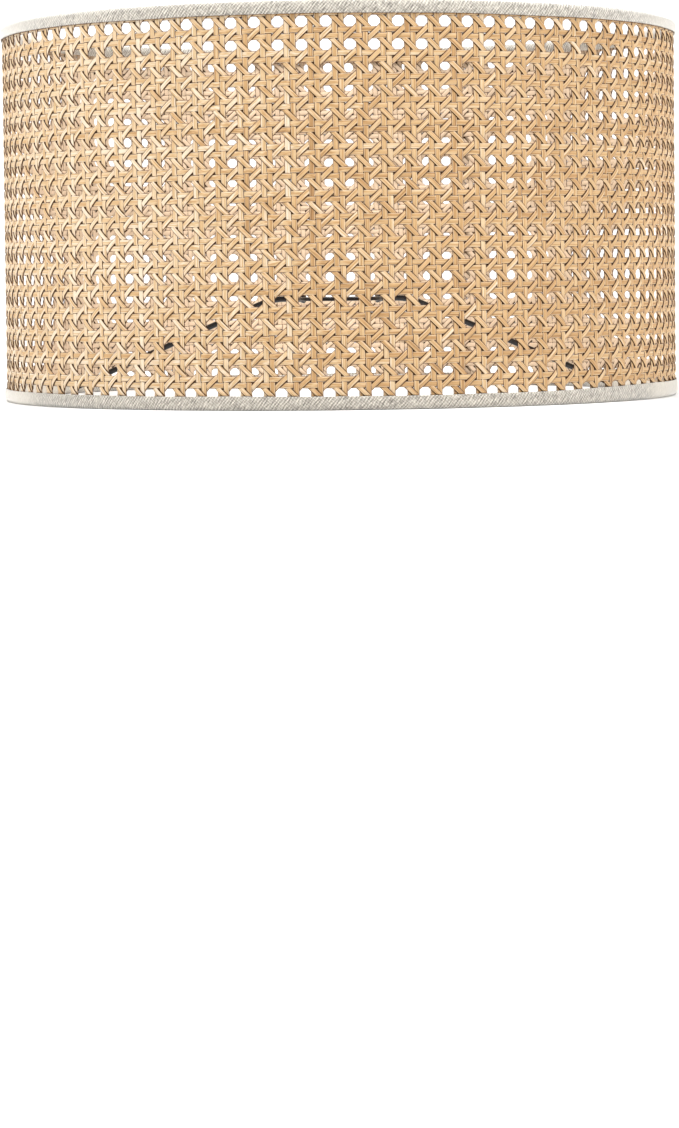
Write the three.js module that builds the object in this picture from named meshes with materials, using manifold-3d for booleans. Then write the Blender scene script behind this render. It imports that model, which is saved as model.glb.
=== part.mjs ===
// A drum lamp shade: cane webbing bent round two wire rings, bound top and bottom with folded linen
// tape, and carried by a three-armed wire spider that is welded to a flat fitter ring.
// Millimetres, +Z up. The origin is the centre of the bottom rim, and one spider arm points to -Y.
import * as THREE from 'three';
import { mergeVertices } from 'three/addons/utils/BufferGeometryUtils.js';
import Module from 'manifold-3d';

const wasm = await Module();
wasm.setup();

// Driving dimensions
const SHADE_DIAMETER = 457.2; // over the tape: a nominal 18 inch drum
const SHADE_HEIGHT = 251;
const CANE_THICKNESS = 2.4; // three layers of woven strand
const CANE_EDGE_INSET = 2.4; // the webbing stops this far short of each rim, inside the tape
const WIRE_DIAMETER = 4; // rings and spider arms
const TAPE_THICKNESS = 0.8;
const TAPE_SHOWN_HEIGHT = 8; // the tape's leg on the outside of the shade
const TAPE_TURNED_HEIGHT = 9; // its leg on the inside
const FITTER_DIAMETER = 59;
const FITTER_HOLE_DIAMETER = 42; // passes a medium screw lamp holder
const FITTER_THICKNESS = 2.5;
const FITTER_HEIGHT = 66.6; // middle of the fitter ring above the bottom rim
const ARM_COUNT = 3;
const ARM_CORNER_RADIUS = 55; // distance from the axis where an arm turns down
const ARM_BEND_RADIUS = 60;
const GAP = 0.3; // between pieces that touch

// Facet counts
const ROUND_FACETS = 72; // round the drum
const FITTER_FACETS = 48;
const WIRE_FACETS = 8;
const TAPE_FOLD_FACETS = 2; // in each quarter turn of the fold
const ARM_STEPS = 20;

// Radii from the outside of the drum to the inside
const WIRE_RADIUS = WIRE_DIAMETER / 2;
const TAPE_OUTER = SHADE_DIAMETER / 2;
const CANE_OUTER = TAPE_OUTER - TAPE_THICKNESS - GAP;
const CANE_INNER = CANE_OUTER - CANE_THICKNESS;
const RING_RADIUS = CANE_INNER - GAP - WIRE_RADIUS; // to the middle of the ring's wire
const TAPE_INNER = RING_RADIUS - WIRE_RADIUS - GAP - TAPE_THICKNESS;

// The tape turns round the wire with this radius on its hidden side, and the wire sits at its centre.
const FOLD_RADIUS = WIRE_RADIUS + GAP;
const RING_INSET = TAPE_THICKNESS + FOLD_RADIUS; // middle of the ring's wire above the rim

const cane = new THREE.MeshStandardMaterial({ color: 0xd9b27c, roughness: 0.6, metalness: 0 });
const linen = new THREE.MeshStandardMaterial({ color: 0xcfc8b8, roughness: 0.95, metalness: 0 });
const blackWire = new THREE.MeshStandardMaterial({ color: 0x1b1b1c, roughness: 0.3, metalness: 0.1 });

function named(name, geometry, material) {
  const mesh = new THREE.Mesh(geometry, material);
  mesh.name = name;
  return mesh;
}

// Turns a closed outline of (radius, height) points about the Z axis, starting at -Y.
function revolve(outline, facets) {
  const closed = [...outline, outline[0].clone()];
  return new THREE.LatheGeometry(closed, facets).rotateX(Math.PI / 2);
}

function toManifold(geometry) {
  const plain = geometry.clone();
  plain.deleteAttribute('normal');
  plain.deleteAttribute('uv');
  const merged = mergeVertices(plain, 1e-3);
  return new wasm.Manifold(
    new wasm.Mesh({
      numProp: 3,
      vertProperties: merged.attributes.position.array,
      triVerts: new Uint32Array(merged.index.array),
    }),
  );
}

function toGeometry(manifold) {
  const mesh = manifold.getMesh();
  const geometry = new THREE.BufferGeometry();
  geometry.setAttribute('position', new THREE.BufferAttribute(mesh.vertProperties, 3));
  geometry.setIndex(new THREE.BufferAttribute(mesh.triVerts, 1));
  geometry.computeVertexNormals();
  return geometry;
}

// The webbing, as the closed tube that holds every strand of the weave.
function canePanel() {
  const low = CANE_EDGE_INSET;
  const high = SHADE_HEIGHT - CANE_EDGE_INSET;
  const outline = [
    new THREE.Vector2(CANE_INNER, low),
    new THREE.Vector2(CANE_OUTER, low),
    new THREE.Vector2(CANE_OUTER, high),
    new THREE.Vector2(CANE_INNER, high),
  ];
  return revolve(outline, ROUND_FACETS);
}

function wireRing(height) {
  const section = new THREE.EllipseCurve(RING_RADIUS, height, WIRE_RADIUS, WIRE_RADIUS);
  return revolve(section.getPoints(WIRE_FACETS).slice(0, WIRE_FACETS), ROUND_FACETS);
}

// Points of a quarter turn of the fold, both ends included.
function foldArc(centreRadius, radius, from, to) {
  const points = [];
  for (let i = 0; i <= TAPE_FOLD_FACETS; i++) {
    const angle = from + ((to - from) * i) / TAPE_FOLD_FACETS;
    points.push(
      new THREE.Vector2(
        centreRadius + radius * Math.cos(angle),
        RING_INSET + radius * Math.sin(angle),
      ),
    );
  }
  return points;
}

// The tape's section at the bottom rim: up the outside, under the rim and up the inside.
function tapeOutline() {
  const outerCentre = TAPE_OUTER - TAPE_THICKNESS - FOLD_RADIUS;
  const outerFold = FOLD_RADIUS + TAPE_THICKNESS;
  const down = -Math.PI / 2;
  return [
    new THREE.Vector2(TAPE_INNER, TAPE_TURNED_HEIGHT),
    ...foldArc(RING_RADIUS, outerFold, -Math.PI, down),
    ...foldArc(outerCentre, outerFold, down, 0),
    new THREE.Vector2(TAPE_OUTER, TAPE_SHOWN_HEIGHT),
    new THREE.Vector2(TAPE_OUTER - TAPE_THICKNESS, TAPE_SHOWN_HEIGHT),
    ...foldArc(outerCentre, FOLD_RADIUS, 0, down),
    ...foldArc(RING_RADIUS, FOLD_RADIUS, down, -Math.PI),
    new THREE.Vector2(TAPE_INNER + TAPE_THICKNESS, TAPE_TURNED_HEIGHT),
  ];
}

function topTape() {
  const raised = tapeOutline().map((p) => new THREE.Vector2(p.x, SHADE_HEIGHT - p.y));
  return revolve(raised.reverse(), ROUND_FACETS);
}

// The bottom tape is slit on the inside where each spider arm passes through it to the ring.
function bottomTape() {
  const slotWidth = WIRE_DIAMETER + 4 * GAP;
  const slotDepth = FOLD_RADIUS + TAPE_THICKNESS;
  const slotBottom = RING_INSET - WIRE_RADIUS + GAP;
  const slotTop = TAPE_TURNED_HEIGHT + 1;
  let tape = toManifold(revolve(tapeOutline(), ROUND_FACETS));
  for (let i = 0; i < ARM_COUNT; i++) {
    const slot = new THREE.BoxGeometry(2 * slotDepth, slotWidth, slotTop - slotBottom);
    slot.translate(TAPE_INNER, 0, (slotTop + slotBottom) / 2);
    slot.rotateZ(armAngle(i));
    tape = tape.subtract(toManifold(slot));
  }
  return toGeometry(tape);
}

function fitterRing() {
  const low = FITTER_HEIGHT - FITTER_THICKNESS / 2;
  const high = FITTER_HEIGHT + FITTER_THICKNESS / 2;
  const outline = [
    new THREE.Vector2(FITTER_HOLE_DIAMETER / 2, low),
    new THREE.Vector2(FITTER_DIAMETER / 2, low),
    new THREE.Vector2(FITTER_DIAMETER / 2, high),
    new THREE.Vector2(FITTER_HOLE_DIAMETER / 2, high),
  ];
  return revolve(outline, FITTER_FACETS);
}

// The first arm points to -Y.
function armAngle(index) {
  return -Math.PI / 2 + (index * 2 * Math.PI) / ARM_COUNT;
}

// An arm along +X: level from the fitter ring, then straight down to the bottom ring.
function spiderArm() {
  const corner = new THREE.Vector3(ARM_CORNER_RADIUS, 0, FITTER_HEIGHT);
  const ringMiddle = new THREE.Vector3(RING_RADIUS, 0, RING_INSET);
  const level = new THREE.Vector3(1, 0, 0);
  const slope = ringMiddle.clone().sub(corner).normalize();
  const tangent = ARM_BEND_RADIUS * Math.tan(slope.angleTo(level) / 2);

  const start = new THREE.Vector3(FITTER_DIAMETER / 2 + GAP, 0, FITTER_HEIGHT);
  const bendStart = corner.clone().addScaledVector(level, -tangent);
  const bendEnd = corner.clone().addScaledVector(slope, tangent);
  const end = ringMiddle.clone().addScaledVector(slope, -(WIRE_RADIUS + GAP));

  const path = new THREE.CurvePath();
  path.add(new THREE.LineCurve3(start, bendStart));
  path.add(new THREE.QuadraticBezierCurve3(bendStart, corner, bendEnd));
  path.add(new THREE.LineCurve3(bendEnd, end));

  const section = new THREE.Shape().absarc(0, 0, WIRE_RADIUS, 0, 2 * Math.PI);
  return new THREE.ExtrudeGeometry(section, {
    extrudePath: path,
    steps: ARM_STEPS,
    curveSegments: WIRE_FACETS / 2,
  });
}

const shade = new THREE.Group();

const frame = new THREE.Group();
frame.add(named('top_wire_ring', wireRing(SHADE_HEIGHT - RING_INSET), blackWire.clone()));
frame.add(named('bottom_wire_ring', wireRing(RING_INSET), blackWire.clone()));
frame.add(named('fitter_ring', fitterRing(), blackWire.clone()));
['spider_arm_front', 'spider_arm_right', 'spider_arm_left'].forEach((name, index) => {
  const arm = named(name, spiderArm(), blackWire.clone());
  arm.rotation.z = armAngle(index);
  frame.add(arm);
});
shade.add(frame);

const cover = new THREE.Group();
cover.add(named('cane_panel', canePanel(), cane));
cover.add(named('top_trim_tape', topTape(), linen.clone()));
cover.add(named('bottom_trim_tape', bottomTape(), linen.clone()));
shade.add(cover);

export default shade;
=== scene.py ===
"""A drum lamp shade: woven cane on wire rings, bound with folded linen tape, on a wire spider.

Metres throughout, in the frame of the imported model: +Z up, the front towards -Y, and the shade
standing on its bottom rim at Z = 0. "Turn" is the angle round the drum from the front, growing
towards +X.
"""

import math

import bpy
import numpy as np
from mathutils import Euler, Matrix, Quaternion, Vector


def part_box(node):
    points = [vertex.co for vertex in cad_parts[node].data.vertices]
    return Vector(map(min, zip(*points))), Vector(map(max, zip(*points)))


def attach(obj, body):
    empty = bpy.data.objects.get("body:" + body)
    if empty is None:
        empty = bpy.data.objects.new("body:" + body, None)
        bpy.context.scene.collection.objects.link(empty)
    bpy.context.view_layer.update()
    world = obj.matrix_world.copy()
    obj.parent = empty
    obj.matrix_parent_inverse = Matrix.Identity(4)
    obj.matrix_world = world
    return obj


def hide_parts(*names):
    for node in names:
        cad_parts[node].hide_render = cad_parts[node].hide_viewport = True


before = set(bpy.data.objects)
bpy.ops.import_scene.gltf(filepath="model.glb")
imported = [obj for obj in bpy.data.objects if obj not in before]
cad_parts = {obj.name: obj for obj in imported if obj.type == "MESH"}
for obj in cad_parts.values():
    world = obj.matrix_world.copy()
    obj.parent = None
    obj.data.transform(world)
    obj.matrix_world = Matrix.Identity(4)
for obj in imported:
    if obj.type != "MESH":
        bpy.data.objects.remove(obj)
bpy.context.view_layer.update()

MM = 0.001
rng = np.random.default_rng(17)

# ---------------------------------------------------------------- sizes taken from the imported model
cane_low, cane_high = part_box("cane_panel")
ring_low, ring_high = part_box("bottom_wire_ring")
top_ring_low, top_ring_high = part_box("top_wire_ring")
fitter_low, fitter_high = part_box("fitter_ring")
tape_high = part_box("bottom_trim_tape")[1]

SHADE_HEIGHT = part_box("top_trim_tape")[1].z
TAPE_OUTER = tape_high.x
TAPE_TURNED_HEIGHT = tape_high.z
WIRE_RADIUS = (ring_high.z - ring_low.z) / 2
RING_RADIUS = ring_high.x - WIRE_RADIUS
RING_INSET = (ring_high.z + ring_low.z) / 2
TOP_RING_HEIGHT = (top_ring_high.z + top_ring_low.z) / 2
FITTER_RADIUS = fitter_high.x
FITTER_HEIGHT = (fitter_high.z + fitter_low.z) / 2

# ---------------------------------------------------------------- the weave
CANE_THICKNESS = 2.4 * MM  # three layers of strand
CANE_RADIUS = cane_high.x - CANE_THICKNESS / 2
COLUMN_TURN = 2 * math.pi / 96  # 96 holes round the drum
ROW_PITCH = 14.23 * MM
FIRST_HOOP = 3.2 * MM  # height of the lowest pair of hoops
HOOP_PAIRS = 18
COLUMN_PITCH = CANE_RADIUS * COLUMN_TURN
PAIR_OFFSET = 1.92 * MM  # from the middle of a pair to the middle of each of its strands
STRAND_WIDTH = 3.78 * MM
DIAGONAL_WIDTH = 3.3 * MM
STRAND_THICKNESS = 0.8 * MM
PAIR_LEVEL = 0.4 * MM  # how far uprights and hoops weave in and out
DIAGONAL_LEVEL = 0.8 * MM
STEPS_PER_CELL = 8
SPLIT_PAIR = -7  # the left and right pieces of the webbing divide at this column

# How strands wander, each as the wavelength and the size of a drift
PLACE_DRIFT = (0.11, 0.1 * MM)
WIDTH_DRIFT = (0.16, 0.025)  # as a share of the width
TILT_DRIFT = (0.07, 0.05)

# Tones of the strands, from 0, dark, to 1, pale
BASE_TONE = 0.43  # uprights and hoops
DIAGONAL_TONE = 0.58
TONE_SPREAD = 0.12
DARK_TONE = 0.16
PALE_TONE = 0.97

# Painted sheen: the part of the drum to the left of the front is made paler, standing in for the
# light on that side
LEFT_SHEEN_TONE = 0.4  # added to the strands' tones
LEFT_SHEEN_FRONT = math.radians(8)
LEFT_SHEEN_FRONT_SPAN = math.radians(45)
LEFT_SHEEN_BACK = math.radians(-170)
LEFT_SHEEN_BACK_SPAN = math.radians(60)

# Share of the painted edge shade that is kept off the shoulders of a strand's skin
UPRIGHT_SOFTNESS = 0.72
HOOP_SOFTNESS = 0.8
DIAGONAL_SOFTNESS = 0.0

# The webbing is one strip. It starts and ends at the back right, where its ends overlap.
FIRST_COLUMN = -55.33
LAST_COLUMN = 41.5
PHASE_SHIFT = COLUMN_TURN / 2
SHIFT_START = math.radians(75)
SHIFT_TURN = math.radians(80)
SEAM_TURN = math.radians(155)
SEAM_LIFT = 2.2 * MM
LIFT_START = math.radians(144)
LIFT_TURN = math.radians(8.5)

# Upright strands that are clearly darker or paler than the rest: (pair, strand of the pair)
DARK_UPRIGHTS = {(5, 0), (13, 0), (13, 1)}
PALE_UPRIGHTS = {(-2, 0), (-9, 1)}

# ---------------------------------------------------------------- the linen tape
TAPE_THICKNESS = 0.8 * MM
TAPE_SHOWN_HEIGHT = 8.0 * MM
TAPE_STATIONS = 38  # points across the tape
TAPE_STEPS = 420  # along it
TAPE_LEAN = 2.4 * MM  # of the inner leg's free edge, towards the cane
TAPE_INNER_MARGIN = 0.35 * MM
INNER_EDGE_DRIFT = (0.19, 0.16 * MM)
OUTER_EDGE_DRIFT = (0.23, 0.14 * MM)
LONG_RIPPLE = (0.31, 0.12 * MM)
SHORT_RIPPLE = (0.043, 0.05 * MM)
EDGE_PRESS = 0.25 * MM  # of the outer edge, towards the cane
EDGE_PRESS_WIDTH = 2.5 * MM
EDGE_THINNING = 0.35
EDGE_SHARPNESS = 60

# The joint, where one end laps over the other
TAPE_LAP = math.radians(3)
LAP_SHIFT = 0.22  # millimetres that each end moves through the tape's thickness
LAP_THINNING = 0.45

# Slits in the inner edge of the bottom tape, one for each spider arm
SLIT_HALF_WIDTH = 2.3 * MM
SLIT_CORNER = 0.7 * MM
SLIT_DEPTH = 7.95 * MM  # from the tape's inner edge
SLIT_REACH = 0.9  # degrees on each side of an arm that get finer steps
SLIT_STEPS = 25

# How far the tapes were slid outwards before they were folded
TOP_SLIP = 0.2 * MM
BOTTOM_SLIP = 0.7 * MM
WIDEST_SLIP = 1.9 * MM  # more of the bottom tape shows at WIDEST_TURN
WIDEST_TURN = math.radians(85)
WIDEST_SPAN = math.radians(40)

# Where the tape rises over the seam of the webbing
BULGE_HALF_TURN = math.radians(3)
BULGE_FADE = math.radians(9)

# Where the linen is painted paler, standing in for light: inside the fold, and as a painted sheen at
# the two sides of the drum
TURNED_EDGE = 8 * MM  # from the tape's inner edge
TURNED_FADE = 4 * MM
SIDE_SINE = 0.84  # of the turn
SIDE_FADE = 0.08

# ---------------------------------------------------------------- the wire spider
ARM_TURNS = {"front": 0.0, "right": math.radians(120), "left": math.radians(-120)}
ARM_CORNER_RADIUS = 55 * MM
ARM_BEND_RADIUS = 60 * MM
ARM_START_OVERLAP = 0.6 * MM  # an arm runs this far into the fitter ring
ARM_END_GAP = 0.9 * MM  # and stops this far short of the middle of the bottom ring
FITTER_BEAD = 1.0 * MM  # how much the wire swells at each weld
RING_BEAD = 0.6 * MM
BEAD_LENGTH = 2.6 * MM
FITTER_HOLE_RADIUS = 21 * MM
FITTER_CORNER = 0.55 * MM  # radius of the fitter ring's rolled edges
WIRE_POINTS = 20  # round a wire
RING_STATIONS = 288
FITTER_STATIONS = 128

# ---------------------------------------------------------------- colours
CANE_TONES = [
    (0.12, (0.2, 0.09, 0.032)),
    (0.34, (0.365, 0.195, 0.076)),
    (0.55, (0.475, 0.292, 0.135)),
    (0.78, (0.56, 0.41, 0.255)),
    (0.95, (0.66, 0.56, 0.44)),
]
CANE_GRAIN = (0.65, 0.47, 0.245, 1.0)
CANE_STAIN = (0.3, 0.145, 0.055, 1.0)
# painted highlight along the strands' edges
CANE_EDGE_HIGHLIGHT = (0.8, 0.7, 0.53, 1.0)
# painted shade along the strands' edges
CANE_EDGE_SHADE = (0.12, 0.04, 0.004, 1.0)
# painted shade in the weave's crevices, and below it the deepest painted shade
CANE_CREVICE_SHADE = (0.17, 0.055, 0.004, 1.0)
CANE_DEEP_CREVICE_SHADE = (0.03, 0.01, 0.002, 1.0)
PITH_DARK = (0.56, 0.4, 0.265, 1.0)
PITH_PALE = (0.76, 0.61, 0.45, 1.0)

LINEN_TONES = [
    (0.2, (0.14, 0.127, 0.11)),
    (0.42, (0.28, 0.256, 0.22)),
    (0.58, (0.43, 0.398, 0.343)),
    (0.8, (0.68, 0.64, 0.56)),
]
LINEN_SLUB = (0.24, 0.225, 0.2, 1.0)
LINEN_HEATHER = (0.56, 0.52, 0.45, 1.0)
LINEN_SIDE_SHEEN_LOW = (0.62, 0.565, 0.47, 1.0)  # painted sheen at the drum's sides, on the bottom tape
LINEN_SIDE_SHEEN_HIGH = (0.45, 0.415, 0.345, 1.0)  # and on the top tape
# painted light on the linen turned inside the fold
LINEN_INSIDE_LIGHT = (0.8, 0.74, 0.63, 1.0)

PAINT = (0.004, 0.004, 0.005, 1.0)
PAINT_DUST = (0.022, 0.021, 0.02, 1.0)
PAPER_DARK = (0.9, 0.9, 0.9, 1.0)
PAPER_PALE = (0.93, 0.93, 0.93, 1.0)


def smooth_step(x):
    x = np.clip(x, 0.0, 1.0)
    return x * x * (3 - 2 * x)


def drift(distance, wavelength, size):
    """A smooth random curve along a strand or a tape."""
    total = np.zeros_like(distance)
    for scale in (1.0, 0.61, 0.37):
        phase = rng.uniform(0, 2 * math.pi)
        total += np.sin(2 * math.pi * distance / (wavelength * scale) + phase)
    return size * total / math.sqrt(3)


def unit(vectors):
    return vectors / np.linalg.norm(vectors, axis=-1, keepdims=True)


class TubeMesh:
    """Collects closed tubes for one mesh. A tube is a grid of points: its length by its section."""

    # The strip that a tube takes up in each of its rows of the map
    STRIP_START = 0.05
    STRIP_HEIGHT = 0.9

    def __init__(self):
        self.points = []
        self.corners = []
        self.sizes = []
        self.marks = []
        self.maps = []
        self.count = 0

    def add(self, grid, marks, rows=1, closed=False):
        """Adds one tube, closed into a ring or with a cap at each end.

        marks has four numbers for each point: the three of "place", then "mark". rows is how many
        rows of the map the tube fills.
        """
        length, around = grid.shape[:2]
        steps = length if closed else length - 1
        step = np.arange(steps)[:, None]
        side = np.arange(around)[None, :]
        next_step = (step + 1) % length
        next_side = (side + 1) % around
        quads = np.stack(
            [
                step * around + side,
                step * around + next_side,
                next_step * around + next_side,
                next_step * around + side,
            ],
            axis=-1,
        )
        self.corners.append(quads.reshape(-1) + self.count)
        self.sizes.append(np.full(steps * around, 4))

        per_row = math.ceil(steps / rows)
        row = step // per_row + 0 * side
        left = (step % per_row) / per_row + 0 * side
        low = self.STRIP_START + self.STRIP_HEIGHT * (side + 0 * step) / around
        tall = self.STRIP_HEIGHT / around
        wide = 1 / per_row
        across = [left, left, left + wide, left + wide]
        up = [row + low, row + low + tall, row + low + tall, row + low]
        corner_map = np.stack([np.stack(across, -1), np.stack(up, -1)], -1)
        self.maps.append((rows, corner_map.reshape(-1, 2)))

        if not closed:
            last = (length - 1) * around
            caps = np.concatenate([np.arange(around)[::-1], last + np.arange(around)])
            self.corners.append(caps + self.count)
            self.sizes.append(np.full(2, around))
            self.maps.append((0, np.zeros((2 * around, 2))))

        self.points.append(grid.reshape(-1, 3))
        self.marks.append(marks.reshape(-1, 4))
        self.count += length * around

    def build(self, name, material, replaced, slot):
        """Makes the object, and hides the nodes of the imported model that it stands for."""
        points = np.concatenate(self.points)
        corners = np.concatenate(self.corners)
        sizes = np.concatenate(self.sizes)
        starts = np.concatenate([[0], np.cumsum(sizes)[:-1]])
        mesh = bpy.data.meshes.new(name)
        mesh.vertices.add(len(points))
        mesh.vertices.foreach_set("co", points.astype(np.float32).reshape(-1))
        mesh.loops.add(len(corners))
        mesh.loops.foreach_set("vertex_index", corners.astype(np.int32))
        mesh.polygons.add(len(sizes))
        mesh.polygons.foreach_set("loop_start", starts.astype(np.int32))
        mesh.update(calc_edges=True)
        mesh.polygons.foreach_set("use_smooth", np.ones(len(sizes), bool))

        marks = np.concatenate(self.marks).astype(np.float32)
        place = mesh.attributes.new("place", "FLOAT_VECTOR", "POINT")
        place.data.foreach_set("vector", marks[:, :3].copy().reshape(-1))
        mark = mesh.attributes.new("mark", "FLOAT", "POINT")
        mark.data.foreach_set("value", marks[:, 3].copy())

        rows = sum(count for count, _ in self.maps)
        base = 0
        placed = []
        for count, corner_map in self.maps:
            placed.append(np.stack([corner_map[:, 0], (corner_map[:, 1] + base) / rows], -1))
            base += count
        layer = mesh.uv_layers.new(name="OFBake")
        layer.uv.foreach_set("vector", np.concatenate(placed).astype(np.float32).reshape(-1))

        piece = bpy.data.objects.new(name, mesh)
        bpy.context.scene.collection.objects.link(piece)
        piece.data.materials.append(material)
        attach(piece, "root")
        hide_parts(*replaced)
        return piece


# ---------------------------------------------------------------- material nodes
class Shader:
    """A short way to write one material's nodes."""

    def __init__(self, name):
        self.material = bpy.data.materials.new(name)
        self.material.use_nodes = True
        self.tree = self.material.node_tree
        self.surface = self.tree.nodes["Principled BSDF"]

    def node(self, kind, inputs=None, **settings):
        made = self.tree.nodes.new(kind)
        for key, value in settings.items():
            setattr(made, key, value)
        for key, value in (inputs or {}).items():
            self.set(made.inputs[key], value)
        return made

    def set(self, socket, value):
        if isinstance(value, bpy.types.NodeSocket):
            self.tree.links.new(value, socket)
        else:
            socket.default_value = value

    def math(self, operation, first, second=0.0):
        return self.node("ShaderNodeMath", {0: first, 1: second}, operation=operation).outputs[0]

    def scaled(self, vector, factors):
        made = self.node("ShaderNodeVectorMath", {0: vector, 1: factors}, operation="MULTIPLY")
        return made.outputs[0]

    def noise(self, vector, scale=1.0, detail=3.0, roughness=0.5):
        inputs = {"Vector": vector, "Scale": scale, "Detail": detail, "Roughness": roughness}
        return self.node("ShaderNodeTexNoise", inputs).outputs["Fac"]

    def spread(self, value, low, high, to_low=0.0, to_high=1.0):
        inputs = {"Value": value, "From Min": low, "From Max": high}
        inputs.update({"To Min": to_low, "To Max": to_high})
        return self.node("ShaderNodeMapRange", inputs).outputs["Result"]

    def mix(self, factor, first, second):
        # Of the node's many sockets, a colour mix uses these.
        made = self.node("ShaderNodeMix", data_type="RGBA")
        self.set(made.inputs[0], factor)
        self.set(made.inputs[6], first)
        self.set(made.inputs[7], second)
        return made.outputs[2]

    def ramp(self, value, stops):
        made = self.node("ShaderNodeValToRGB", {"Fac": value})
        elements = made.color_ramp.elements
        while len(elements) < len(stops):
            elements.new(0.5)
        for element, (position, colour) in zip(elements, stops):
            element.position = position
            element.color = (*colour, 1.0)
        return made.outputs["Color"]

    def attribute(self, name):
        return self.node("ShaderNodeAttribute", attribute_name=name)

    def bump(self, height, distance, strength=1.0):
        inputs = {"Height": height, "Distance": distance, "Strength": strength}
        made = self.node("ShaderNodeBump", inputs)
        self.set(self.surface.inputs["Normal"], made.outputs["Normal"])


def cane_material():
    """Split cane. "place" is (across from -1 to 1, metres along, tone of the strand plus a painted
    sheen on the left side).

    "mark" is 1 on the crown of the skin, 0 at a strand's edges and -1 on its pith side.
    """
    shader = Shader("cane")
    place = shader.attribute("place").outputs["Vector"]
    mark = shader.attribute("mark").outputs["Fac"]
    parts = shader.node("ShaderNodeSeparateXYZ", {"Vector": place})
    across, _, tone = parts.outputs
    edge = shader.math("ABSOLUTE", across)

    # Each scale is across the strand, along it, and from one tone to the next.
    streaks = shader.noise(shader.scaled(place, (2.3, 14.0, 61.0)), detail=2.0)
    fibres = shader.noise(shader.scaled(place, (7.0, 70.0, 97.0)), detail=4.0)
    blotches = shader.noise(shader.scaled(place, (0.5, 9.0, 43.0)), detail=3.0)
    batch = shader.math("FRACT", shader.math("MULTIPLY", tone, 57.31))

    from_tone = shader.math("MULTIPLY", tone, 0.6)
    from_streaks = shader.spread(streaks, 0.3, 0.7, -0.04, 0.5)
    skin = shader.ramp(shader.math("ADD", from_tone, from_streaks), CANE_TONES)
    grain = shader.spread(fibres, 0.35, 0.72)
    skin = shader.mix(shader.math("MULTIPLY", grain, 0.4), skin, CANE_GRAIN)
    stain = shader.spread(blotches, 0.62, 0.78)
    skin = shader.mix(shader.math("MULTIPLY", stain, 0.45), skin, CANE_STAIN)
    # Painted highlight: a pale band along both edges of every strand
    edge_highlight = shader.spread(edge, 0.62, 0.82)
    skin = shader.mix(shader.math("MULTIPLY", edge_highlight, 0.8), skin, CANE_EDGE_HIGHLIGHT)
    pith = shader.mix(fibres, PITH_DARK, PITH_PALE)

    # Painted shade: a dark colour along each strand's edges stands in for the shadow where strands
    # cross
    side = shader.ramp(
        shader.spread(mark, -1.0, 1.0),
        [(0.0, (0.0,) * 3), (0.16, (0.85,) * 3), (0.82, (1.0,) * 3), (0.9, (0.0,) * 3)],
    )
    under = shader.spread(mark, -0.6, -0.95)
    colour = shader.mix(under, skin, pith)
    colour = shader.mix(side, colour, CANE_EDGE_SHADE)

    # Painted shade: the colour darkens where the crevices between strands are occluded, to near black
    # in the narrowest gaps
    occlusion = shader.node("ShaderNodeAmbientOcclusion", {"Distance": 1.5 * MM}, samples=6)
    openness = occlusion.outputs["AO"]
    shaded = shader.spread(openness, 0.84, 0.6)
    less_under = shader.spread(under, 0, 1, 0.95, 0.5)
    colour = shader.mix(shader.math("MULTIPLY", shaded, less_under), colour, CANE_CREVICE_SHADE)
    deep_shade = shader.spread(openness, 0.76, 0.58, 0.0, 1.0)
    colour = shader.mix(deep_shade, colour, CANE_DEEP_CREVICE_SHADE)
    shader.set(shader.surface.inputs["Base Color"], colour)

    fibre_rough = shader.spread(fibres, 0.3, 0.7, 0.34, 0.54)
    batch_rough = shader.math("MULTIPLY", batch, 0.08)
    rough = shader.math("ADD", fibre_rough, batch_rough)
    shader.set(shader.surface.inputs["Roughness"], rough)
    shader.surface.inputs["Specular IOR Level"].default_value = 0.2
    relief = shader.math("ADD", fibres, shader.math("MULTIPLY", streaks, 0.6))
    shader.bump(relief, 0.12 * MM, 0.8)
    return shader.material


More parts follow.
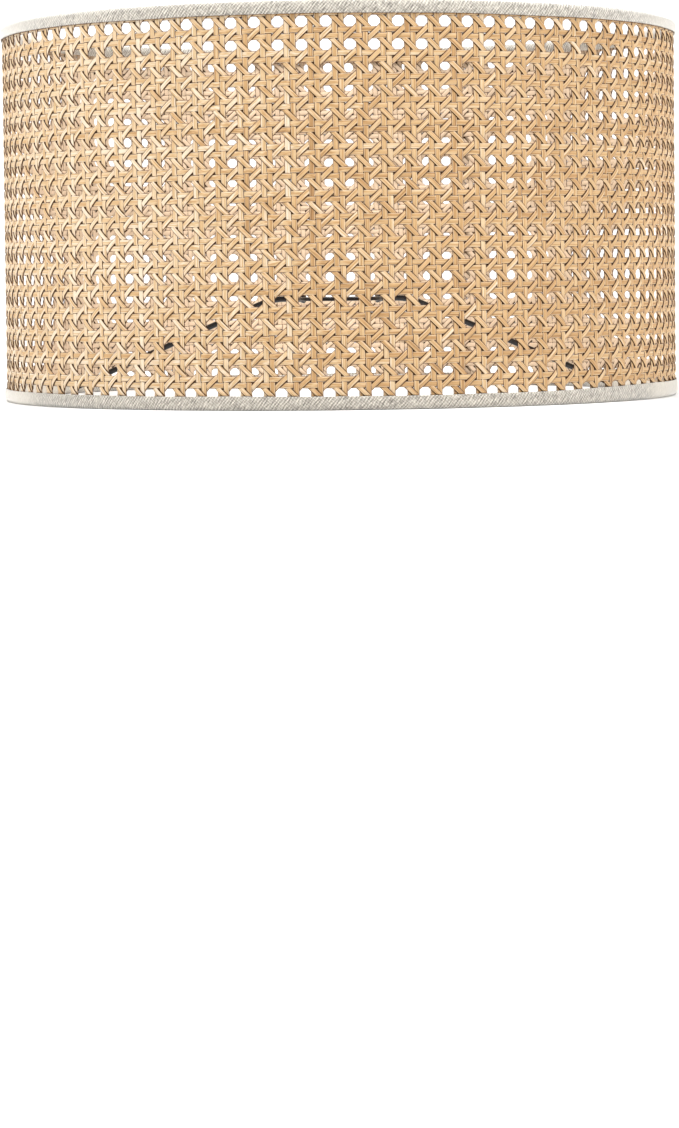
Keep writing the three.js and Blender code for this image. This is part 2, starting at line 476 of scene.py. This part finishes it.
def linen_material():
    """Heathered linen cut on the bias, painted paler where it is turned inside and given a painted
    sheen at the drum's two sides, both standing in for light.

    "place" is (metres along the tape, metres across it, share turned inside), and "mark" is 1 at
    the two sides of the drum, where the painted sheen goes.
    """
    rib_spacing = 1.75 * MM
    thread_spacing = 1.5 * MM
    bias = math.radians(-52)
    shader = Shader("linen_tape")
    place = shader.attribute("place").outputs["Vector"]
    turned = shader.node(
        "ShaderNodeMapping",
        {"Vector": place, "Rotation": (0.0, 0.0, bias)},
    ).outputs["Vector"]
    parts = shader.node("ShaderNodeSeparateXYZ", {"Vector": turned})
    sway = shader.spread(shader.noise(turned, 160.0, 2.0), 0.0, 1.0, -0.9, 0.9)
    rib_angle = shader.math("MULTIPLY", parts.outputs[1], 2 * math.pi / rib_spacing)
    rib_angle = shader.math("ADD", rib_angle, sway)
    ribs = shader.spread(shader.math("SINE", rib_angle), -1.0, 1.0)
    cross_angle = shader.math("MULTIPLY", parts.outputs[0], 2 * math.pi / thread_spacing)
    cross_angle = shader.math("ADD", cross_angle, sway)
    cross = shader.spread(shader.math("SINE", cross_angle), -1.0, 1.0)

    yarn = shader.noise(shader.scaled(turned, (260.0, 1300.0, 1.0)), 1.0, 3.0, 0.6)
    slubs = shader.noise(shader.scaled(turned, (1100.0, 240.0, 1.0)), 1.0, 3.0, 0.6)
    heather = shader.noise(shader.scaled(place, (140.0, 140.0, 1.0)), 1.0, 2.0)

    rib_share = shader.math("MULTIPLY", ribs, 0.6)
    cross_share = shader.math("MULTIPLY", cross, 0.4)
    weave = shader.math("ADD", rib_share, cross_share)
    mottle = shader.spread(yarn, 0.3, 0.7)
    weave_share = shader.math("MULTIPLY", weave, 0.36)
    mottle_share = shader.math("MULTIPLY", mottle, 0.64)
    colour = shader.ramp(shader.math("ADD", weave_share, mottle_share), LINEN_TONES)
    colour = shader.mix(shader.spread(slubs, 0.55, 0.72, 0.0, 0.5), colour, LINEN_SLUB)
    colour = shader.mix(shader.spread(heather, 0.45, 0.7, 0.0, 0.3), colour, LINEN_HEATHER)

    where = shader.node("ShaderNodeTexCoord").outputs["Object"]
    height = shader.node("ShaderNodeSeparateXYZ", {"Vector": where}).outputs[2]
    # Painted sheen: at the drum's two sides the linen is paler and plainer, brighter on the bottom
    # tape than the top
    side_sheen = shader.mix(
        shader.spread(height, 0.0, SHADE_HEIGHT), LINEN_SIDE_SHEEN_LOW, LINEN_SIDE_SHEEN_HIGH
    )
    sheen_share = shader.attribute("mark").outputs["Fac"]
    colour = shader.mix(shader.math("MULTIPLY", sheen_share, 0.65), colour, side_sheen)
    # Painted light: the linen turned inside the fold is made paler, standing in for light reaching it
    inside_light_share = shader.node("ShaderNodeSeparateXYZ", {"Vector": place}).outputs[2]
    colour = shader.mix(shader.math("MULTIPLY", inside_light_share, 0.7), colour, LINEN_INSIDE_LIGHT)
    shader.set(shader.surface.inputs["Base Color"], colour)

    shader.set(shader.surface.inputs["Roughness"], shader.spread(yarn, 0.2, 0.8, 0.78, 0.98))
    shader.surface.inputs["Specular IOR Level"].default_value = 0.2
    shader.surface.inputs["Sheen Weight"].default_value = 0.7
    shader.surface.inputs["Sheen Roughness"].default_value = 0.5
    relief = shader.math("ADD", weave, shader.math("MULTIPLY", yarn, 0.5))
    shader.bump(relief, 0.12 * MM)
    return shader.material


def wire_material():
    """Gloss black paint over steel wire, with a little orange peel and dust."""
    shader = Shader("black_wire")
    where = shader.node("ShaderNodeTexCoord").outputs["Object"]
    peel = shader.noise(where, 900.0, 2.0)
    dust = shader.noise(where, 70.0, 5.0, 0.65)
    colour = shader.mix(shader.spread(dust, 0.5, 0.8, 0.0, 0.5), PAINT, PAINT_DUST)
    shader.set(shader.surface.inputs["Base Color"], colour)
    shader.set(shader.surface.inputs["Roughness"], shader.spread(dust, 0.3, 0.75, 0.1, 0.26))
    shader.surface.inputs["Specular IOR Level"].default_value = 0.4
    shader.bump(peel, 0.05 * MM)
    return shader.material


def stage_material():
    shader = Shader("studio_paper")
    where = shader.node("ShaderNodeTexCoord").outputs["Object"]
    mottle = shader.noise(where, 3.0, 2.0)
    colour = shader.mix(mottle, PAPER_DARK, PAPER_PALE)
    shader.set(shader.surface.inputs["Base Color"], colour)
    shader.surface.inputs["Roughness"].default_value = 0.9
    shader.surface.inputs["Specular IOR Level"].default_value = 0.1
    return shader.material


# ---------------------------------------------------------------- cane
# One strand's section, in half widths and half thicknesses: a crowned skin over a flat pith side.
STRAND_SECTION = np.array(
    [(-1, 0.0), (-0.74, 0.62), (0, 1), (0.74, 0.62), (1, 0.0), (0.8, -1), (-0.8, -1)], float
)


def turn_at(column):
    """Turn of a column of the weave. The spacing drifts by half a column on the way to the seam."""
    turn = column * COLUMN_TURN
    return turn + PHASE_SHIFT * smooth_step((turn - SHIFT_START) / SHIFT_TURN)


def seam_lift(turn):
    """The outer end of the webbing climbs over the inner end at the glued seam."""
    return SEAM_LIFT * smooth_step((turn - LIFT_START) / LIFT_TURN)


def add_strand(mesh, path, width, tone, softness):
    """Lays one strand on the drum.

    path is (column, height, level) along it, and level is how far it lies outside the middle of
    the webbing.
    """
    column, height, level = path
    turn = turn_at(column)
    radius = CANE_RADIUS + seam_lift(turn) + level
    outward = np.stack([np.sin(turn), -np.cos(turn), np.zeros_like(turn)], axis=1)
    centre = outward * radius[:, None]
    centre[:, 2] = height
    along = unit(np.gradient(centre, axis=0))
    side = unit(np.cross(along, outward))
    up = np.cross(side, along)
    distance = np.concatenate([[0], np.cumsum(np.linalg.norm(np.diff(centre, axis=0), axis=1))])

    centre = centre + side * drift(distance, *PLACE_DRIFT)[:, None]
    half_width = width / 2 * (1 + drift(distance, *WIDTH_DRIFT))
    tilt = drift(distance, *TILT_DRIFT)[:, None]
    side, up = side * np.cos(tilt) + up * np.sin(tilt), up * np.cos(tilt) - side * np.sin(tilt)

    across, crown = STRAND_SECTION.T
    rise = crown * STRAND_THICKNESS / 2
    grid = (
        centre[:, None]
        + side[:, None] * (half_width[:, None] * across)[:, :, None]
        + up[:, None] * rise[None, :, None]
    )
    marks = np.empty(grid.shape[:2] + (4,))
    marks[:, :, 0] = across
    marks[:, :, 1] = distance[:, None] + rng.uniform(0, 40)
    marks[:, :, 2] = tone + painted_left_sheen(turn)[:, None]
    skin = np.sqrt(np.maximum(crown, 0))
    marks[:, :, 3] = np.where(crown > 0, skin + softness * (1 - skin), crown)
    long_strand = 0.6
    mesh.add(grid, marks, rows=3 if distance[-1] > long_strand else 1)


def strand_tone(middle):
    return float(np.clip(middle + rng.normal(0, TONE_SPREAD), 0.1, 0.95))


def painted_left_sheen(turn):
    """Painted sheen: the side of the drum to the left of the front is made paler, standing in for the
    light falling on it.
    """
    from_front = smooth_step((LEFT_SHEEN_FRONT - turn) / LEFT_SHEEN_FRONT_SPAN)
    from_back = smooth_step((turn - LEFT_SHEEN_BACK) / LEFT_SHEEN_BACK_SPAN)
    return LEFT_SHEEN_TONE * from_front * from_back


def over_under(offset, half_pitch):
    """-1 at the first strand of the pair being crossed, 1 at the second, 0 midway to the next."""
    distance = np.abs(offset)
    inside = np.sin(math.pi / 2 * offset / PAIR_OFFSET)
    outside = np.sign(offset) * np.cos(
        math.pi / 2 * (distance - PAIR_OFFSET) / (half_pitch - PAIR_OFFSET)
    )
    return np.where(distance < PAIR_OFFSET, inside, outside)


def from_nearest(position, pitch):
    return position - pitch * np.round(position / pitch)


def sampled(first, last, pitch):
    """Points from first to last, with whole cells divided evenly and the ends exact."""
    step = pitch / STEPS_PER_CELL
    inner = np.arange(math.ceil(first / step) + 1, math.floor(last / step)) * step
    return np.concatenate([[first], inner, [last]])


def upright_strands():
    """Every upright as its pair, its place in the pair and its path."""
    height = FIRST_HOOP + sampled(cane_low.z - FIRST_HOOP, cane_high.z - FIRST_HOOP, ROW_PITCH)
    wave = PAIR_LEVEL * over_under(from_nearest(height - FIRST_HOOP, ROW_PITCH), ROW_PITCH / 2)
    for pair in range(math.ceil(FIRST_COLUMN), math.floor(LAST_COLUMN) + 1):
        for strand, sign in enumerate((-1, 1)):
            column = np.full_like(height, pair + sign * PAIR_OFFSET / COLUMN_PITCH)
            yield pair, strand, (column, height, -sign * wave)


def hoop_strands():
    """Every hoop that the panel's edges leave whole, as its pair and its path."""
    column = sampled(FIRST_COLUMN, LAST_COLUMN, 1.0)
    wave = PAIR_LEVEL * over_under(from_nearest(column, 1.0) * COLUMN_PITCH, COLUMN_PITCH / 2)
    for pair in range(HOOP_PAIRS):
        for sign in (1, -1):
            height = FIRST_HOOP + pair * ROW_PITCH + sign * PAIR_OFFSET
            if cane_low.z < height - STRAND_WIDTH / 2 and height + STRAND_WIDTH / 2 < cane_high.z:
                yield pair, (column, np.full_like(column, height), sign * wave)


def diagonal_strands(slope):
    """The path of every diagonal of one family.

    slope is -1 for strands that fall to the right, and 1 for those that rise to the right.
    """
    shortest = 0.6  # columns
    steepness = 2
    low = (cane_low.z - FIRST_HOOP) / ROW_PITCH
    high = (cane_high.z - FIRST_HOOP) / ROW_PITCH
    reach = high - low
    for index in range(math.floor(FIRST_COLUMN - reach), math.ceil(LAST_COLUMN + reach)):
        start = index + 0.5
        ends = sorted((start + slope * low, start + slope * high))
        first = max(ends[0], FIRST_COLUMN)
        last = min(ends[1], LAST_COLUMN)
        if last - first < shortest:
            continue
        column = sampled(first, last, 1.0)
        height = FIRST_HOOP + slope * (column - start) * ROW_PITCH
        swing = np.cos(2 * math.pi * column)
        crossing = np.tanh(steepness * swing) / math.tanh(steepness)
        yield column, height, -slope * DIAGONAL_LEVEL * crossing


def make_cane():
    material = cane_material()
    meshes = {}

    def mesh_for(family, part):
        return meshes.setdefault(f"cane_{family}_{part}", TubeMesh())

    for pair, strand, path in upright_strands():
        tone = strand_tone(BASE_TONE)
        if (pair, strand) in DARK_UPRIGHTS:
            tone = DARK_TONE
        if (pair, strand) in PALE_UPRIGHTS:
            tone = PALE_TONE
        side = "left" if pair < SPLIT_PAIR else "right"
        add_strand(mesh_for("uprights", side), path, STRAND_WIDTH, tone, UPRIGHT_SOFTNESS)
    for pair, path in hoop_strands():
        part = "lower" if pair < HOOP_PAIRS // 2 else "upper"
        tone = strand_tone(BASE_TONE)
        add_strand(mesh_for("hoops", part), path, STRAND_WIDTH, tone, HOOP_SOFTNESS)
    for family, slope in (("falling", -1), ("rising", 1)):
        for path in diagonal_strands(slope):
            column = path[0]
            side = "left" if (column[0] + column[-1]) / 2 < SPLIT_PAIR else "right"
            tone = strand_tone(DIAGONAL_TONE)
            add_strand(mesh_for(family, side), path, DIAGONAL_WIDTH, tone, DIAGONAL_SOFTNESS)
    for name, mesh in meshes.items():
        mesh.build(name, material, ["cane_panel"], "cane")


# ---------------------------------------------------------------- linen tape
def fold_profile():
    """The middle of the folded tape at the bottom rim, from its inner edge to its outer edge.

    Returns distance along it, radius, height and the two parts of the direction across it, towards
    the wire.
    """
    fold_radius = RING_INSET - TAPE_THICKNESS / 2
    outer_centre = TAPE_OUTER - RING_INSET
    quarter = np.linspace(0, math.pi / 2, 24)
    inner_leg = np.linspace(TAPE_TURNED_HEIGHT, RING_INSET, 20)[:-1]
    outer_leg = np.linspace(RING_INSET, TAPE_SHOWN_HEIGHT, 20)[1:]
    inner_face = RING_RADIUS - fold_radius
    lean = TAPE_LEAN * smooth_step((inner_leg - RING_INSET) / (TAPE_TURNED_HEIGHT - RING_INSET))
    radius = np.concatenate(
        [
            inner_face + lean,
            RING_RADIUS - fold_radius * np.cos(quarter),
            outer_centre + fold_radius * np.sin(quarter),
            np.full_like(outer_leg, outer_centre + fold_radius),
        ]
    )
    height = np.concatenate(
        [
            inner_leg,
            RING_INSET - fold_radius * np.sin(quarter),
            RING_INSET - fold_radius * np.cos(quarter),
            outer_leg,
        ]
    )
    distance = np.concatenate([[0], np.cumsum(np.hypot(np.diff(radius), np.diff(height)))])
    across_radius = -np.gradient(height, distance)
    across_height = np.gradient(radius, distance)
    size = np.hypot(across_radius, across_height)
    return distance, radius, height, across_radius / size, across_height / size


def turn_between(turn, other):
    """The smaller angle between two turns."""
    return np.abs(np.angle(np.exp(1j * (turn - other))))


def slit_share(turn):
    """1 where the tape's inner edge is cut back for a spider arm, and 0 elsewhere."""
    share = np.zeros_like(turn)
    for arm_turn in ARM_TURNS.values():
        apart = turn_between(turn, arm_turn) * RING_RADIUS
        share = np.maximum(share, 1 - smooth_step((apart - SLIT_HALF_WIDTH) / SLIT_CORNER))
    return share


def fold_slip(turn, upside_down):
    """How far the tape was slid outwards before it was folded."""
    if upside_down:
        return np.full_like(turn, TOP_SLIP)
    near_widest = smooth_step(1.5 - turn_between(turn, WIDEST_TURN) / WIDEST_SPAN)
    return BOTTOM_SLIP + WIDEST_SLIP * near_widest


def tape_turns(first, last, has_slits):
    """Even steps round the drum, with finer ones at the slits."""
    turns = list(np.linspace(first, last, TAPE_STEPS))
    near = np.linspace(-SLIT_REACH, SLIT_REACH, SLIT_STEPS) * math.radians(1)
    if has_slits:
        for arm_turn in ARM_TURNS.values():
            for around in (-2 * math.pi, 0.0):
                turns += [turn for turn in arm_turn + around + near if first < turn < last]
    return np.unique(np.round(turns, 6))


def make_tape(name, node, lap_turn, upside_down, material):
    """One tape, folded over the bottom rim or, upside down, over the top rim."""
    distance, radius, height, across_radius, across_height = fold_profile()
    first = lap_turn - 2 * math.pi - TAPE_LAP / 2
    last = lap_turn + TAPE_LAP / 2
    turn = tape_turns(first, last, has_slits=not upside_down)
    travelled = (turn - first) * TAPE_OUTER

    slip = fold_slip(turn, upside_down)
    inner_edge = TAPE_INNER_MARGIN + slip + drift(travelled, *INNER_EDGE_DRIFT)
    if not upside_down:
        inner_edge = inner_edge + (SLIT_DEPTH - inner_edge) * slit_share(turn)
    outer_edge = distance[-1] + slip + drift(travelled, *OUTER_EDGE_DRIFT)
    share = np.linspace(0, 1, TAPE_STATIONS)
    place = inner_edge[:, None] + (outer_edge - inner_edge)[:, None] * share
    tape_radius = np.interp(place, distance, radius)
    tape_height = np.interp(place, distance, height) + np.maximum(place - distance[-1], 0)
    inward_radius = np.interp(place, distance, across_radius)
    inward_height = np.interp(place, distance, across_height)

    outside = smooth_step((tape_radius - RING_RADIUS) / (TAPE_OUTER - RING_INSET - RING_RADIUS))
    from_seam = turn_between(turn, SEAM_TURN)
    bulge = SEAM_LIFT * (1 - smooth_step((from_seam - BULGE_HALF_TURN) / BULGE_FADE))
    ripple = drift(travelled, *LONG_RIPPLE) + drift(travelled, *SHORT_RIPPLE)
    tape_radius = tape_radius + outside * (bulge + ripple)[:, None]
    from_edge = outer_edge[:, None] - place
    tape_radius = tape_radius - EDGE_PRESS * (1 - smooth_step(from_edge / EDGE_PRESS_WIDTH))

    # The two ends are pressed to about half their thickness where one laps over the other.
    starts = 1 - smooth_step((turn - first - TAPE_LAP) / (TAPE_LAP / 3))
    ends = smooth_step((turn - last + TAPE_LAP * 4 / 3) / (TAPE_LAP / 3))
    shift = (LAP_SHIFT * ends - LAP_SHIFT * starts)[:, None] * MM
    half = TAPE_THICKNESS / 2 * (1 - LAP_THINNING * np.maximum(starts, ends))[:, None]
    near_edge = np.exp(-((share * (1 - share)) * EDGE_SHARPNESS) ** 2)
    half = half * (1 - EDGE_THINNING * near_edge)[None, :]

    def face(offset):
        """One face of the tape, offset from its middle towards the wire."""
        face_radius = tape_radius + inward_radius * (shift + offset)
        face_height = np.maximum(tape_height + inward_height * (shift + offset), 0)
        if upside_down:
            face_height = SHADE_HEIGHT - face_height
        right = face_radius * np.sin(turn)[:, None]
        back = -face_radius * np.cos(turn)[:, None]
        return np.stack([right, back, face_height], axis=-1)

    grid = np.concatenate([face(half), face(-half)[:, ::-1]], axis=1)
    marks = np.zeros(grid.shape[:2] + (4,))
    marks[:, :, 0] = travelled[:, None]
    across = np.concatenate([place, place[:, ::-1] + 0.1], axis=1)
    marks[:, :, 1] = -across if upside_down else across
    marks[:, :, 2] = 1 - smooth_step((across - TURNED_EDGE) / TURNED_FADE)
    marks[:, :, 3] = smooth_step((np.abs(np.sin(turn)) - SIDE_SINE) / SIDE_FADE)[:, None]
    if upside_down:
        grid = grid[:, ::-1]
        marks = marks[:, ::-1]
    mesh = TubeMesh()
    mesh.add(grid, marks, rows=6)
    tape = mesh.build(name, material, [node], "linen_tape")


# ---------------------------------------------------------------- wire spider
def wire_tube(centre, radius, closed=False):
    """A round tube along centre, which is level or lies in an upright plane through the axis."""
    if closed:
        along = unit(np.roll(centre, -1, axis=0) - np.roll(centre, 1, axis=0))
    else:
        along = unit(np.gradient(centre, axis=0))
    level = unit(np.cross(along, np.array([0.0, 0.0, 1.0])))
    up = np.cross(level, along)
    angle = np.linspace(0, -2 * math.pi, WIRE_POINTS, endpoint=False)
    across = np.cos(angle)
    rise = np.sin(angle)
    radius = np.broadcast_to(radius, (len(centre),))
    grid = centre[:, None] + radius[:, None, None] * (
        level[:, None] * across[None, :, None] + up[:, None] * rise[None, :, None]
    )
    mesh = TubeMesh()
    mesh.add(grid, np.zeros(grid.shape[:2] + (4,)), rows=1, closed=closed)
    return mesh


def make_ring(name, node, height, material):
    turn = np.linspace(0, 2 * math.pi, RING_STATIONS, endpoint=False)
    right = RING_RADIUS * np.sin(turn)
    back = -RING_RADIUS * np.cos(turn)
    centre = np.stack([right, back, np.full_like(turn, height)], axis=1)
    wire_tube(centre, WIRE_RADIUS, closed=True).build(name, material, [node], "black_wire")


def arm_path():
    """(radius, height) along an arm: level, then a round bend, then straight to the bottom ring.

    The points crowd together towards both ends, where the weld beads are.
    """
    crowding = 1.6
    corner = np.array([ARM_CORNER_RADIUS, FITTER_HEIGHT])
    end = np.array([RING_RADIUS, RING_INSET])
    slope = unit(end - corner)
    bend = math.acos(slope[0])
    tangent = ARM_BEND_RADIUS * math.tan(bend / 2)
    bend_centre = np.array([ARM_CORNER_RADIUS - tangent, FITTER_HEIGHT - ARM_BEND_RADIUS])
    angle = np.linspace(0, bend, 24)
    arc = bend_centre + ARM_BEND_RADIUS * np.stack([np.sin(angle), np.cos(angle)], axis=1)
    start = np.array([FITTER_RADIUS - ARM_START_OVERLAP, FITTER_HEIGHT])
    stop = end - slope * ARM_END_GAP
    level_part = start + (arc[0] - start) * np.linspace(0, 1, 24)[:-1, None] ** crowding
    straight = stop + (arc[-1] - stop) * np.linspace(1, 0, 60)[1:, None] ** crowding
    return np.concatenate([level_part, arc, straight])


def make_arm(name, node, arm_turn, material):
    """The wire swells into a weld bead at each end."""
    path = arm_path()
    distance = np.concatenate([[0], np.cumsum(np.linalg.norm(np.diff(path, axis=0), axis=1))])
    to_end = distance[-1] - distance
    fitter_bead = FITTER_BEAD * np.exp(-((distance / BEAD_LENGTH) ** 2))
    ring_bead = RING_BEAD * np.exp(-((to_end / BEAD_LENGTH) ** 2))
    right = path[:, 0] * math.sin(arm_turn)
    back = -path[:, 0] * math.cos(arm_turn)
    centre = np.stack([right, back, path[:, 1]], axis=1)
    wire = wire_tube(centre, WIRE_RADIUS + (fitter_bead + ring_bead))
    wire.build(name, material, [node], "black_wire")


def make_fitter(name, node, material):
    """A flat stamped ring with rolled edges."""
    half = (fitter_high.z - fitter_low.z) / 2
    outer = FITTER_RADIUS - FITTER_CORNER
    inner = FITTER_HOLE_RADIUS + FITTER_CORNER
    top = half - FITTER_CORNER
    bottom = FITTER_CORNER - half
    quarter = np.linspace(0, math.pi / 2, 5)
    outline = []
    for index, corner in enumerate(((outer, top), (inner, top), (inner, bottom), (outer, bottom))):
        angle = quarter + index * math.pi / 2
        turned = np.stack([np.cos(angle), np.sin(angle)], axis=1)
        outline.append(np.array(corner) + FITTER_CORNER * turned)
    radius, height = np.concatenate(outline)[::-1].T
    turn = np.linspace(0, 2 * math.pi, FITTER_STATIONS, endpoint=False)[:, None]
    right = radius * np.sin(turn)
    back = -radius * np.cos(turn)
    grid = np.stack([right, back, FITTER_HEIGHT + height + 0 * turn], axis=-1)
    mesh = TubeMesh()
    mesh.add(grid, np.zeros(grid.shape[:2] + (4,)), closed=True)
    mesh.build(name, material, [node], "black_wire")


# ---------------------------------------------------------------- studio
def make_stage():
    """A round studio of pale paper: a floor that curves up into a wall on every side."""
    floor_radius = 4.6
    curve = 1.4
    wall_height = 5.0
    floor_drop = 0.02 * MM  # keeps the floor clear of the rim that stands on it
    sides = 96
    angle = np.linspace(0, math.pi / 2, 16)
    wall_radius = floor_radius + curve
    ring_radii = [1.0, 2.5, *(floor_radius + curve * np.sin(angle)), wall_radius]
    ring_heights = [0.0, 0.0, *(curve - curve * np.cos(angle)), wall_height]
    turns = np.linspace(0, 2 * math.pi, sides, endpoint=False)
    points = [(0.0, 0.0, -floor_drop)]
    for radius, height in zip(ring_radii, ring_heights):
        for turn in turns:
            points.append((radius * math.cos(turn), radius * math.sin(turn), height - floor_drop))
    faces = []
    for side in range(sides):
        faces.append((0, 1 + side, 1 + (side + 1) % sides))
    for ring in range(len(ring_radii) - 1):
        base = 1 + ring * sides
        for side in range(sides):
            following = (side + 1) % sides
            outer = base + sides
            faces.append((base + side, outer + side, outer + following, base + following))
    mesh = bpy.data.meshes.new("studio_sweep")
    mesh.from_pydata(points, [], faces)
    mesh.polygons.foreach_set("use_smooth", [True] * len(faces))
    sweep = bpy.data.objects.new("studio_sweep", mesh)
    sweep.data.materials.append(stage_material())
    bpy.context.scene.collection.objects.link(sweep)


def make_area_light(name, place, target, size, power):
    light = bpy.data.lights.new(name, "AREA")
    light.shape = "DISK"
    light.size = size
    light.energy = power
    lamp = bpy.data.objects.new(name, light)
    lamp.location = place
    direction = np.array(target) - np.array(place)
    lamp.rotation_mode = "QUATERNION"
    lamp.rotation_quaternion = Vector(direction).to_track_quat("-Z", "Y")
    bpy.context.scene.collection.objects.link(lamp)


def make_lights():
    world = bpy.data.worlds.new("studio")
    world.use_nodes = True
    world.node_tree.nodes["Background"].inputs["Color"].default_value = (1.0, 1.0, 1.0, 1.0)
    world.node_tree.nodes["Background"].inputs["Strength"].default_value = 0.25
    bpy.context.scene.world = world
    middle = (0.0, 0.0, SHADE_HEIGHT / 2)
    make_area_light("key", (-1.2, -1.4, 2.5), middle, size=0.4, power=70)
    make_area_light("right_key", (1.7, -1.2, 2.3), middle, size=0.45, power=54)
    make_area_light("fill", (2.6, -0.9, 0.5), middle, size=1.4, power=15)
    make_area_light("left", (-2.6, -0.2, 0.3), middle, size=2.0, power=20)
    make_area_light("inside", (0.0, -0.05, 1.15), (0.0, 0.05, 0.1), size=0.35, power=5)
    make_area_light("backdrop", (0.0, 2.4, 3.4), (0.0, 4.2, 0.6), size=2.0, power=160)
    bpy.context.scene.view_settings.view_transform = "Standard"


def make_camera():
    """The photograph's viewing angle: in front, a little below the middle of the shade."""
    camera = bpy.data.cameras.new("camera")
    camera.lens = 102.9
    camera.sensor_width = 36.0
    camera.shift_x = -0.002
    camera.shift_y = -0.1385
    camera.clip_end = 50.0
    holder = bpy.data.objects.new("camera", camera)
    holder.location = (0.0, -2.202, 0.0844)
    holder.rotation_mode = "QUATERNION"
    tilt = Euler((math.radians(90 - 2.4), 0.0, 0.0)).to_quaternion()
    roll = Quaternion((0.0, 0.0, 1.0), math.radians(-0.62))
    holder.rotation_quaternion = tilt @ roll
    bpy.context.scene.collection.objects.link(holder)
    bpy.context.scene.camera = holder


make_camera()
make_cane()

linen = linen_material()
make_tape(
    "linen_tape_bottom",
    "bottom_trim_tape",
    lap_turn=math.radians(172),
    upside_down=False,
    material=linen,
)
make_tape(
    "linen_tape_top",
    "top_trim_tape",
    lap_turn=math.radians(168),
    upside_down=True,
    material=linen,
)

black = wire_material()
make_ring("wire_ring_bottom", "bottom_wire_ring", RING_INSET, black)
make_ring("wire_ring_top", "top_wire_ring", TOP_RING_HEIGHT, black)
make_fitter("fitter_washer", "fitter_ring", black)
for arm_name, arm_turn in ARM_TURNS.items():
    make_arm("wire_arm_" + arm_name, "spider_arm_" + arm_name, arm_turn, black)

make_stage()
make_lights()
